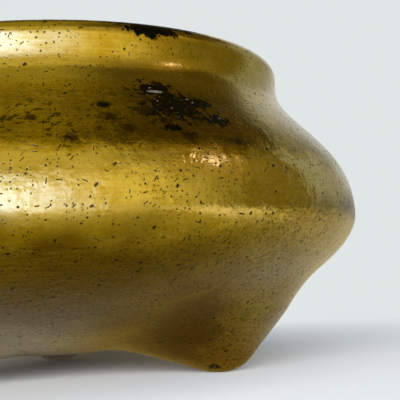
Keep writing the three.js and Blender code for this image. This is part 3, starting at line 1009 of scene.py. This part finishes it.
# The outer skin, the same for the bowl and the feet so that it runs on across their seats.
# Gives the colour, roughness, metallic share, weight of the film and bump height in millimetres
def bronzeSkin(tree, place, facing, patches, blots, streaks):
    look, tones, shares = skinLook, bronzeTones, tarnishShares
    part = splitXyz(tree, place)
    grain = useTree(tree, bronzeGrain, {"Place": place})
    lines, mottle = grain["Lines"], grain["Mottle"]
    cloud = minus(tree, grain["Cloud"], 0.5)
    coarse = noise(tree, place, *noises["coarse"])
    height = calc(tree, "MULTIPLY_ADD", cloud, look["drift"], part["Z"])

    # Patina: belly and lip are bare from handling, and the belly's pale polish is partly a painted highlight
    # where the window shows; the shoulder keeps it, its darker band partly a painted reflection of the dim
    # room; the lower part is dull, partly painted shade under the belly
    shoulder = times(tree, ramp(tree, height, "shoulderFrom"), ramp(tree, height, "shoulderTo"))
    tide = calc(tree, "MULTIPLY_ADD", part["X"], -look["tideRise"], height)
    below = ramp(tree, minus(tree, tide, look["tideHeight"]), "tide")
    # painted shade: the lip's tarnish grows towards the viewer's right
    onLip = times(tree, ramp(tree, part["Z"], "lipFrom"), ramp(tree, part["X"], "lipRight"))
    small = plus(
        tree, scaled(tree, mottle, shares["mottle"], 0.5), scaled(tree, coarse, shares["coarse"], 0.5))
    tarnish = plus(
        tree, shares["bare"], scaled(tree, shoulder, shares["shoulder"]),
        scaled(tree, below, shares["below"]), scaled(tree, onLip, shares["lip"]),
        scaled(tree, cloud, shares["cloud"]), scaled(tree, lines, shares["lines"], 0.5),
        times(tree, ramp(tree, part["Z"], "calm"), small))
    # Dull khaki below the tide line: partly a duller patina, partly painted shade under the belly
    dullAndShaded = times(tree, below, ramp(tree, tarnish, "khaki"))
    color = patinaColor(tree, tarnish)
    color = mixColor(tree, scaled(tree, dullAndShaded, covers["khaki"]), color, tones["khaki"])
    # Brown clouds low round the bowl and on a foot's front: partly patina, partly painted shade under the
    # belly
    patinaAndShadeBelow = times(tree, patchesAt(tree, place, lowBrownPatinaAndShade, "clouds"), ramp(tree, lines, "brownLines"))
    color = mixColor(tree, patinaAndShadeBelow, color, tones["brown"])
    color = mixColor(tree, times(tree, ramp(tree, coarse, "dimples"), below), color, tones["pit"])
    rough = plus(
        tree, mixNumber(tree, below, roughness["polished"], roughness["dull"]),
        scaled(tree, mottle, roughness["mottle"], 0.5), scaled(tree, lines, roughness["lines"], 0.5))

    # Small relief: cast dimples below the tide line, shallow dents and waves that fade out towards the neck
    dents = times(
        tree, noise(tree, place, *noises["dents"]),
        ramp(tree, noise(tree, place, *noises["dentPlaces"]), "dentPlaces"), ramp(tree, part["Z"], "dentsTo"))
    waves = times(tree, noise(tree, place, *noises["waves"]), ramp(tree, part["Z"], "waves"))
    bump = plus(
        tree, scaled(tree, mottle, mixNumber(tree, below, *relief["mottle"])),
        scaled(tree, lines, relief["lines"]), scaled(tree, coarse, mixNumber(tree, below, *relief["coarse"])),
        waves, dents)

    # Casting pits everywhere, thicker in some places than in others, and short scratches on the belly
    thick = ramp(tree, noise(tree, place, *noises["pitPlaces"]), "pitPlaces")
    pits = marksAt(tree, place, facing, "pits", Share=thick)
    bigPits = marksAt(tree, place, facing, "bigPits")
    onBelly = times(tree, ramp(tree, part["Z"], "scratchesFrom"), ramp(tree, part["Z"], "scratchesTo"))
    scratches = marksAt(tree, place, facing, "scratches", Share=scaled(tree, onBelly, look["scratches"]))
    pitted = highest(
        tree, scaled(tree, pits["Mark"], ramp(tree, pits["Chance"], "pitDepths")), bigPits["Mark"],
        scratches["Mark"])
    color = mixColor(tree, scaled(tree, pitted, covers["pit"]), color, tones["pit"])
    rough = mixNumber(tree, pitted, rough, roughness["pit"])
    bump = minus(tree, bump, scaled(tree, pitted, relief["pit"]))

    # Brown smudges and freckles round the corroded places, longer round the bowl than up it
    freckled = patchesAt(tree, place, freckledPlaces, "freckles")
    flattened = vectorCalc(tree, "MULTIPLY", place, look["smudgeShape"])
    smudges = ramp(tree, noise(tree, flattened, *noises["smudges"]), "smudges")
    spotted = highest(tree, times(tree, smudges, freckled), patchesAt(tree, place, blots, "blots"))
    color = mixColor(tree, scaled(tree, spotted, covers["maroon"]), color, tones["maroon"])
    rough = mixNumber(tree, spotted, rough, roughness["maroon"])

    # Black corroded patches with pale mineral specks, and a dark line along the rim's crest
    crest = calc(tree, "MULTIPLY_ADD", minus(tree, mottle, 0.5), look["crestWaver"], part["Z"])
    crust = highest(tree, patchesAt(tree, place, patches.values(), "crust"), ramp(tree, crest, "crest"))
    rust = noise(tree, place, *noises["rust"])
    crustColor = mixColor(tree, ramp(tree, rust, "rust"), tones["crust"], tones["maroon"])
    color = mixColor(tree, ramp(tree, crust, "crustColor"), color, crustColor)
    rough = mixNumber(tree, crust, rough, roughness["crust"])
    bump = calc(tree, "MULTIPLY_ADD", crust, scaled(tree, rust, relief["rust"], 0.5), bump)
    specks = marksAt(tree, place, facing, "specks")["Mark"]
    speckled = highest(tree, crust, scaled(tree, freckled, covers["loneSpeck"]))
    speck = times(tree, specks, speckled, ramp(tree, part["Z"], "specksTo"))
    streak = scaled(tree, patchesAt(tree, place, streaks, "streaks"), covers["streak"])
    color = mixColor(tree, highest(tree, speck, streak), color, tones["speck"])
    bare = minus(tree, 1.0, highest(tree, crust, pitted))
    return {
        "color": color, "rough": rough, "metallic": ramp(tree, crust, "crustMetal"), "bump": bump,
        "film": scaled(tree, bare, look["film"]), "part": part, "cloud": cloud}


def finishMaterial(tree, shader, skin):
    feed(tree, skin["color"], shader.inputs["Base Color"])
    feed(tree, skin["rough"], shader.inputs["Roughness"])
    feed(tree, skin["metallic"], shader.inputs["Metallic"])
    bump = valueOf(tree, "ShaderNodeBump", {"Height": skin["bump"], "Distance": mm, "Strength": 1.0})
    feed(tree, bump, shader.inputs["Normal"])
    feed(tree, skin["film"], shader.inputs["Coat Weight"])
    shader.inputs["Coat Roughness"].default_value = skinLook["coatRough"]
    shader.inputs["Coat IOR"].default_value = skinLook["coatIor"]


bowlInside = {"soot": 0.9, "dust": 1.0}
tenonHeads = {"soot": 0.45, "dust": 0.35}  # rubbed by the ash spoon


# Soot on the walls inside and grey ash dust lying on the floor of the bowl
def sooty(tree, skin, place, look):
    height, cloud = skin["part"]["Z"], skin["cloud"]
    hollow = addNode(tree, "ShaderNodeAttribute", attribute_name="hollow").outputs["Fac"]
    frayed = calc(tree, "MULTIPLY_ADD", cloud, skinLook["sootDrift"], height)
    inside = times(tree, ramp(tree, hollow, "hollow"), ramp(tree, frayed, "sootTo"))
    stained = ramp(tree, noise(tree, place, *noises["stains"]), "stains")
    sootColor = mixColor(tree, stained, bronzeTones["soot"], bronzeTones["brown"])
    color = mixColor(tree, scaled(tree, inside, look["soot"]), skin["color"], sootColor)
    settled = ramp(tree, calc(tree, "MULTIPLY_ADD", cloud, skinLook["ashDrift"], height), "ashTo")
    grit = ramp(tree, noise(tree, place, *noises["grit"]), "grit")
    dust = times(tree, inside, settled, look["dust"], grit)
    skin["color"] = mixColor(tree, dust, color, bronzeTones["ash"])
    skin["film"] = times(tree, skin["film"], ramp(tree, inside, "without"))
    sootRough = mixNumber(tree, inside, skin["rough"], roughness["soot"])
    skin["rough"] = mixNumber(tree, dust, sootRough, roughness["ash"])
    skin["metallic"] = times(
        tree, skin["metallic"], ramp(tree, dust, "without"), ramp(tree, inside, "sootMetal"))
    skin["bump"] = calc(tree, "MULTIPLY_ADD", dust, scaled(tree, grit, relief["grit"]), skin["bump"])


def castBronze(name, patches, blots, streaks, inside):
    material, tree, shader, place, facing = newMaterial(name)
    skin = bronzeSkin(tree, place, facing, patches, blots, streaks)
    sooty(tree, skin, place, inside)
    finishMaterial(tree, shader, skin)
    return material


panelLook = {
    "grain": {"Cloud size": 5.0, "Line length": 9.0, "Line width": 0.5},
    "tarnish": 0.72,
    "cloud": 0.9,
    "mottle": 0.5,
    "rough": 0.48,
    "mottleRough": 0.25,
    "pitRough": 0.6,
    "mottleHeight": 0.05,
    "pitDepth": 0.06,
    "film": 0.1,
}


def panelBronze():
    look = panelLook
    material, tree, shader, place, facing = newMaterial("panelBronze")
    grain = useTree(tree, bronzeGrain, {"Place": place, **look["grain"]})
    mottle = grain["Mottle"]
    color = patinaColor(tree, plus(
        tree, look["tarnish"], scaled(tree, grain["Cloud"], look["cloud"], 0.5),
        scaled(tree, mottle, look["mottle"], 0.5)))
    pits = marksAt(tree, place, facing, "panelPits")["Mark"]
    rough = plus(tree, look["rough"], scaled(tree, mottle, look["mottleRough"], 0.5))
    heights = scaled(tree, mottle, look["mottleHeight"]), scaled(tree, pits, look["pitDepth"])
    finishMaterial(tree, shader, {
        "color": mixColor(tree, pits, color, bronzeTones["pit"]),
        "rough": mixNumber(tree, pits, rough, look["pitRough"]), "metallic": 1.0, "film": look["film"],
        "bump": minus(tree, *heights)})
    return material


bowlFinish = castBronze("bowlBronze", bowlPatches, bowlBlots, paleStreaks, bowlInside)
footFinish = castBronze("footBronze", footPatches, (), (), tenonHeads)
for piece, finishOf, slotName, node in (
        (bowlPiece, bowlFinish, "bowl_bronze", "bowl"),
        *((piece, footFinish, "foot_bronze", node) for piece, node in zip(footPieces, footNodes)),
        (basePanel, panelBronze(), "panel_bronze", "base_panel")):
    piece.data.materials.clear()
    piece.data.materials.append(finishOf)
    piece.data.polygons.foreach_set("material_index", [0] * len(piece.data.polygons))
    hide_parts(node)
    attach(piece, "root")
print("finishes made")


camera = {
    "distance": 195.0,
    "height": 18.78,
    "turn": 9.347,
    "tilt": 5.222,
    "roll": -2.872,
    "lens": 78.07,
    "clipStart": 5.0,
}


def makeCamera():
    data = bpy.data.cameras.new("viewer")
    data.lens = camera["lens"]
    data.clip_start = camera["clipStart"] * mm
    obj = newObject("viewer", data)
    turn, tilt, roll = (math.radians(camera[key]) for key in ("turn", "tilt", "roll"))
    ahead = Vector((math.sin(turn) * math.cos(tilt), math.cos(turn) * math.cos(tilt), math.sin(tilt)))
    level = Vector((math.cos(turn), -math.sin(turn), 0))
    upward = level.cross(ahead)
    right = level * math.cos(roll) + upward * math.sin(roll)
    up = upward * math.cos(roll) - level * math.sin(roll)
    pose = Matrix((right, up, -ahead)).transposed().to_4x4()
    pose.translation = Vector((0, -camera["distance"], camera["height"])) * mm
    obj.matrix_world = pose
    bpy.context.scene.camera = obj


makeCamera()


# Floor, surroundings and lamps. Bearings are degrees from the viewer's side, positive to the viewer's right
studio = {
    "floorSize": 4.0,
    "floorDrop": 0.2,
    "floorColor": (0.77, 0.80, 0.84, 1),
    "floorPale": (0.82, 0.82, 0.83, 1),
    "floorClouds": (90.0, 3.0),
    "floorRough": 0.9,
    "floorShine": 0.1,
    "backColor": (0.75, 0.785, 0.785, 1),
    "backFrom": (60.0, 200.0),  # the floor goes over into the background, as the camera sees it
}

# The room as the metal shows it: a soft window in front, dim warm walls, pale cloth standing behind
room = {
    "window": (0.82, 0.68, 0.20, 1),
    "windowLeft": (-80, -42),
    "windowRight": (18, 74),
    "windowTop": (20, 45),
    "windowUpper": 0.50,
    "windowEnd": (59, 66),
    "core": (0.80, 1.32, 4.4),  # the window's bright bluish middle
    "coreLeft": (-70, -40),
    "coreRight": (-34, 20),
    "coreTop": (10, 40),
    "wall": (0.18, 0.145, 0.025, 1),
    "wallTop": (34, 44),
    "ceiling": (0.30, 0.243, 0.032, 1),
    "ceilingDim": (0.085, 0.06, 0.008, 1),
    "dimmingRight": (-0.05, 0.32),
    "dimmingBack": (0.2, 0.6),
    "clothStart": (102, 110),
    "clothTop": (36, 40),
    "clothNear": (0.31, 0.32, 0.30, 1),
    "clothFar": (0.75, 0.785, 0.785, 1),
    "clothBright": (128, 170),
    "warmAt": (66, 39, 0),  # a small warm lamp: bearing and rise
    "warmSpot": (3.0, 2.4, 3.2, 1),
    "warmReach": (1.5, 4.0, 1.0, 0.0),
    "warmGlow": (0.42, 0.29, 0.06, 1),
    "glowReach": (4, 26, 0.8, 0.0),
}

# Painted reflection: the floor as the metal shows it, an emission seen by glossy rays in place of the lit
# floor, with painted shadow under and before the bowl, painted warm light beside the foot and a painted gleam
# far off. Its tone changes with the distance in front of the bowl's middle
paintedFloorLight = {
    "near": (0.50, 0.475, 0.42, 1),
    "dark": (0.10, 0.09, 0.08, 1),  # in the bowl's shadow, before the rear foot
    "darkMiddle": (-6.0, 22.0, 0.0),
    "darkReach": (20, 42),
    "under": (0.32, 0.22, 0.05, 1),  # warm from the bronze above it, beside the foot at the viewer's right
    "underMiddle": (24.0, -12.0, 0.0),
    "underReach": (12, 34),
    "edge": (0.50, 0.425, 0.09, 1),  # the strip just before the bowl's reach
    "edgeFrom": (34, 50),
    "frontFrom": (64, 74),  # from here on, outside the bowl's reach, the floor goes from dim to bright
    "frontFar": (74, 175),
    "turn": 0.13,  # that line turns back at the viewer's right, from turnFrom on
    "turnFrom": 90.0,
    "frontSides": (-12, 26),
    "frontNearLeft": (0.47, 0.38, 0.03, 1),
    "frontNearRight": (0.40, 0.32, 0.05, 1),
    "frontFarLeft": (1.0, 0.91, 0.74, 1),
    "frontFarRight": (0.68, 0.555, 0.14, 1),
    "beside": (0.82, 0.73, 0.47, 1),  # open cloth at the viewer's right
    "besideFrom": (58, 100),
    "farSide": (0.20, 0.16, 0.03, 1),  # and farther off, as dim as the wall
    "farSideFrom": (30, 66),
    "farSideTo": (92, 104),
    "farSideReach": (140, 260),
    "gleamFrom": (130, 330),  # the window's bright middle runs on over the far floor
}

# Lamps that light the cloth and the ash; the metal shows the room instead
lamps = {
    "overhead": {
        "bearing": 10, "rise": 42, "distance": 1.1, "wide": 2.2, "tall": 2.0, "power": 15.0,
        "color": (0.87, 0.93, 1.0)},
    "windowLamp": {
        "bearing": -8, "rise": 11, "distance": 1.0, "wide": 1.6, "tall": 0.4, "power": 40.0,
        "color": (0.96, 0.98, 1.0)},
}


def toward(bearing, rise, distance):
    bearing, rise = math.radians(bearing), math.radians(rise)
    return Vector((
        math.sin(bearing) * math.cos(rise), -math.cos(bearing) * math.cos(rise), math.sin(rise))) * distance


def addLamp(name, look):
    data = bpy.data.lights.new(name, "AREA")
    data.shape = "RECTANGLE"
    data.size, data.size_y = look["wide"], look["tall"]
    data.energy = look["power"]
    data.color = look["color"]
    obj = newObject(name, data)
    obj.location = toward(look["bearing"], look["rise"], look["distance"])
    obj.rotation_mode = "QUATERNION"
    obj.rotation_quaternion = toward(look["bearing"], look["rise"], 1).to_track_quat("Z", "Y")
    obj.visible_camera = False
    obj.visible_glossy = False


def seenBy(tree, kind):
    return addNode(tree, "ShaderNodeLightPath").outputs[f"Is {kind} Ray"]


def inDegrees(tree, angle):
    return scaled(tree, angle, 180 / math.pi)


def bearingOf(tree, way):
    return inDegrees(tree, calc(tree, "ARCTAN2", way["X"], scaled(tree, way["Y"], -1.0)))


def fadeOut(tree, value, low, high):
    return smoothStep(tree, value, low, high, 1.0, 0.0)


def between(tree, value, left, right):
    return times(tree, smoothStep(tree, value, *left), fadeOut(tree, value, *right))


def roomColor(tree, way):
    look = room
    bearing, rise = bearingOf(tree, way), inDegrees(tree, calc(tree, "ARCSINE", way["Z"]))
    sideways = calc(tree, "ABSOLUTE", bearing)
    dim = highest(
        tree, smoothStep(tree, way["X"], *look["dimmingRight"]),
        smoothStep(tree, way["Y"], *look["dimmingBack"]))
    ceiling = mixColor(tree, dim, look["ceiling"], look["ceilingDim"])
    around = mixColor(tree, smoothStep(tree, rise, *look["wallTop"]), look["wall"], ceiling)
    bright = smoothStep(tree, sideways, *look["clothBright"])
    cloth = mixColor(tree, bright, look["clothNear"], look["clothFar"])
    standing = times(
        tree, smoothStep(tree, sideways, *look["clothStart"]),
        fadeOut(tree, rise, *look["clothTop"]))
    around = mixColor(tree, standing, around, cloth)
    low = fadeOut(tree, rise, *look["windowTop"])
    high = times(
        tree, smoothStep(tree, rise, *look["windowTop"], 0.0, look["windowUpper"]),
        fadeOut(tree, rise, *look["windowEnd"]))
    window = times(
        tree, between(tree, bearing, look["windowLeft"], look["windowRight"]),
        plus(tree, low, high))
    around = mixColor(tree, window, around, look["window"])
    core = times(
        tree, between(tree, bearing, look["coreLeft"], look["coreRight"]),
        fadeOut(tree, rise, *look["coreTop"]))
    around = vectorCalc(tree, "ADD", around, vectorCalc(tree, "SCALE", look["core"], core))
    spot = vectorCalc(tree, "DISTANCE", joinXyz(tree, bearing, rise, 0.0), look["warmAt"])
    around = mixColor(tree, smoothStep(tree, spot, *look["glowReach"]), around, look["warmGlow"])
    return mixColor(tree, smoothStep(tree, spot, *look["warmReach"]), around, look["warmSpot"])


# Painted reflection of the floor: the colour the floor's emission shows to glossy rays, with painted shadow
# near the bowl and painted light farther off
def paintedFloorReflection(tree, place, flat):
    look = paintedFloorLight
    part = splitXyz(tree, place)
    bearing = bearingOf(tree, part)
    turned = highest(tree, minus(tree, part["X"], look["turnFrom"]), 0.0)
    line = calc(tree, "MULTIPLY_ADD", turned, look["turn"], scaled(tree, part["Y"], -1.0))
    seen = look["near"]
    for name in ("dark", "under"):
        away = vectorCalc(tree, "DISTANCE", place, look[name + "Middle"])
        seen = mixColor(tree, fadeOut(tree, away, *look[name + "Reach"]), seen, look[name])
    right = smoothStep(tree, bearing, *look["frontSides"])
    front = mixColor(
        tree, smoothStep(tree, line, *look["frontFar"]),
        mixColor(tree, right, look["frontNearLeft"], look["frontNearRight"]),
        mixColor(tree, right, look["frontFarLeft"], look["frontFarRight"]))
    seen = mixColor(tree, smoothStep(tree, line, *look["edgeFrom"]), seen, look["edge"])
    seen = mixColor(tree, smoothStep(tree, line, *look["frontFrom"]), seen, front)
    seen = mixColor(tree, smoothStep(tree, part["X"], *look["besideFrom"]), seen, look["beside"])
    openFront = times(
        tree, smoothStep(tree, line, *look["farSideReach"]),
        fadeOut(tree, bearing, *look["farSideFrom"]))
    seen = mixColor(tree, openFront, seen, front)
    besides = times(
        tree, between(tree, bearing, look["farSideFrom"], look["farSideTo"]),
        smoothStep(tree, flat, *look["farSideReach"]))
    seen = mixColor(tree, besides, seen, look["farSide"])
    # painted gleam: the window's bright middle painted over the far floor
    paintedGleam = times(
        tree, between(tree, bearing, room["coreLeft"], room["coreRight"]),
        smoothStep(tree, line, *look["gleamFrom"]))
    return vectorCalc(tree, "ADD", seen, vectorCalc(tree, "SCALE", room["core"], paintedGleam))


def mixShader(tree, factor, under, over):
    node = addNode(tree, "ShaderNodeMixShader")
    for value, socket in zip((factor, under.outputs[0], over.outputs[0]), node.inputs):
        feed(tree, value, socket)
    return node


def makeFloor():
    half, height = studio["floorSize"] / 2, -studio["floorDrop"] * mm
    mesh = bpy.data.meshes.new("floor")
    corners = [(x * half, y * half, height) for x, y in ((-1, -1), (1, -1), (1, 1), (-1, 1))]
    mesh.from_pydata(corners, [], [(0, 1, 2, 3)])
    obj = newObject("floor", mesh)
    material, tree, shader, place, _ = newMaterial("paleClothPaintedReflection")
    clouds = noise(tree, place, *studio["floorClouds"])
    feed(tree, mixColor(tree, clouds, studio["floorColor"], studio["floorPale"]), shader.inputs["Base Color"])
    shader.inputs["Roughness"].default_value = studio["floorRough"]
    shader.inputs["Specular IOR Level"].default_value = studio["floorShine"]
    flat = vectorCalc(tree, "LENGTH", vectorCalc(tree, "MULTIPLY", place, (1.0, 1.0, 0.0)))
    far = times(tree, smoothStep(tree, flat, *studio["backFrom"]), seenBy(tree, "Camera"))
    # Glossy rays see the painted floor reflection, an emission, instead of the lit cloth
    back, paintedReflection = (
        addNode(tree, "ShaderNodeEmission", {"Color": color, "Strength": 1.0})
        for color in (studio["backColor"], paintedFloorReflection(tree, place, flat)))
    both = mixShader(tree, seenBy(tree, "Glossy"), mixShader(tree, far, shader, back), paintedReflection)
    feed(tree, both.outputs[0], tree.nodes["Material Output"].inputs["Surface"])
    mesh.materials.append(material)


# Only the metal sees the room: the camera sees a plain background, and the world lights nothing
def makeWorld():
    world = bpy.data.worlds.new("surroundings")
    bpy.context.scene.world = world
    world.use_nodes = True
    tree = world.node_tree
    way = splitXyz(tree, addNode(tree, "ShaderNodeTexCoord").outputs["Generated"])
    color = mixColor(tree, seenBy(tree, "Camera"), roomColor(tree, way), studio["backColor"])
    feed(tree, color, tree.nodes["Background"].inputs["Color"])
    world.cycles_visibility.diffuse = False


makeFloor()
makeWorld()
for lampName, lampLook in lamps.items():
    addLamp(lampName, lampLook)
bpy.context.scene.view_settings.view_transform = "Standard"

print("scene ready")
